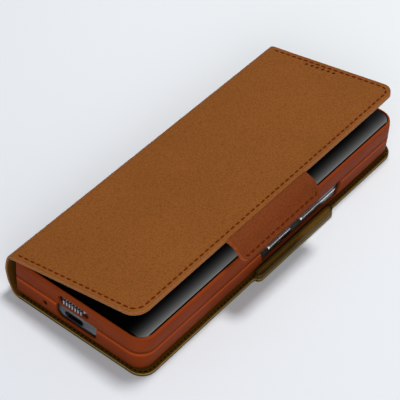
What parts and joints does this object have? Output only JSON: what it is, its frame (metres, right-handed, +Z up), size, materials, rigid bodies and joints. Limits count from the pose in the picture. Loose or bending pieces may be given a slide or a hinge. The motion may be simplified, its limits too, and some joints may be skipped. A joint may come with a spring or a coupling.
{
  "type": "phone wallet case",
  "caption": "Book-style leather wallet case on a closed folding phone, with clip-on shells, a bowed spine, a lifted stitched flap with a card pocket, and a magnetic clasp tab.",
  "frame": {"origin": "on the back panel's outer face, under the middle of the closed phone", "axes": "+X from the spine to the clasp, +Y from the charging end to the far end, +Z up out of the flap"},
  "size_m": [0.0756, 0.1642, 0.0337],
  "materials": {
    "tan_leather": "fine pebble grain, satin",
    "tab_leather": "fine pebble grain, satin",
    "dark_lining": "matt synthetic leather",
    "rust_shell": "smooth satin",
    "board": "matt pressed board",
    "steel": "brushed",
    "magnet": "nickel plated",
    "silver_frame": "satin anodised",
    "inner_block": "matt",
    "black_glass": "polished, opaque black behind",
    "black_plastic": "matt",
    "lamp_white": "translucent lens"
  },
  "bodies": {
    "base": {"back_panel_leather": "tan_leather", "back_panel_lining": "dark_lining", "back_tab_cap": "dark_lining", "back_tab_keeper": "steel", "rear_shell": "rust_shell", "phone_rear_frame": "silver_frame", "phone_rear_body": "inner_block", "phone_back_glass": "black_glass", "phone_rear_screen": "black_glass", "phone_camera_island": "inner_block", "phone_camera_lens_1": "black_glass", "phone_camera_lens_2": "black_glass", "phone_camera_lens_3": "black_glass", "phone_flash": "lamp_white", "phone_port_cup": "steel", "phone_port_tongue": "black_plastic"},
    "power_key": {"phone_power_key": "silver_frame"},
    "volume_key": {"phone_volume_key": "silver_frame"},
    "front_half": {"front_shell": "rust_shell", "phone_front_frame": "silver_frame", "phone_front_body": "inner_block", "phone_front_screen": "black_glass", "phone_cover_glass": "black_glass", "phone_speaker_grille": "steel"},
    "phone_hinge": {"phone_hinge_cover": "silver_frame", "phone_screen_bend": "black_glass"},
    "spine": {"spine_leather": "tan_leather", "spine_lining": "dark_lining"},
    "front_crease": {"front_crease_leather": "tan_leather"},
    "flap": {"flap_leather": "tan_leather", "flap_board": "board", "flap_lining": "dark_lining", "card_pocket": "dark_lining", "clasp_root": "tab_leather"},
    "clasp_tab": {"clasp_leather": "tab_leather", "clasp_lining": "dark_lining", "clasp_magnet_1": "magnet", "clasp_magnet_2": "magnet"}
  },
  "joints": [
    {"name": "phone_fold", "type": "hinge", "parent": "base", "child": "front_half", "pos_m": [-0.0312, 0, 0.0112], "axis": [0, -1, 0], "range_deg": [0, 180]},
    {"name": "phone_hinge_turn", "type": "hinge", "parent": "base", "child": "phone_hinge", "pos_m": [-0.0312, 0, 0.0112], "axis": [0, -1, 0], "range_deg": [0, 90]},
    {"name": "spine_turn", "type": "hinge", "parent": "base", "child": "spine", "pos_m": [-0.03266, 0, 0.00115], "axis": [0, -1, 0], "range_deg": [0, 90]},
    {"name": "front_crease_turn", "type": "hinge", "parent": "spine", "child": "front_crease", "pos_m": [-0.0345, 0, 0.01855], "axis": [0, -1, 0], "range_deg": [0, 90]},
    {"name": "flap_open", "type": "hinge", "parent": "front_crease", "child": "flap", "pos_m": [-0.0318, 0, 0.02125], "axis": [0, -1, 0], "range_deg": [-9.4, 128.6]},
    {"name": "clasp_bend", "type": "hinge", "parent": "flap", "child": "clasp_tab", "pos_m": [0.03288, 0, 0.03184], "axis": [0, -1, 0], "range_deg": [-30, 45]},
    {"name": "power_press", "type": "slide", "parent": "base", "child": "power_key", "axis": [-1, 0, 0], "range_m": [0, 0.0003], "stiffness_N_per_m": 3000},
    {"name": "volume_press", "type": "slide", "parent": "base", "child": "volume_key", "axis": [-1, 0, 0], "range_m": [0, 0.0003], "stiffness_N_per_m": 3000}
  ],
  "couplings": [
    {"joint": "phone_hinge_turn", "follows": "phone_fold", "ratio": 0.5},
    {"joint": "spine_turn", "follows": "phone_fold", "ratio": 0.5},
    {"joint": "front_crease_turn", "follows": "phone_fold", "ratio": 0.5}
  ]
}
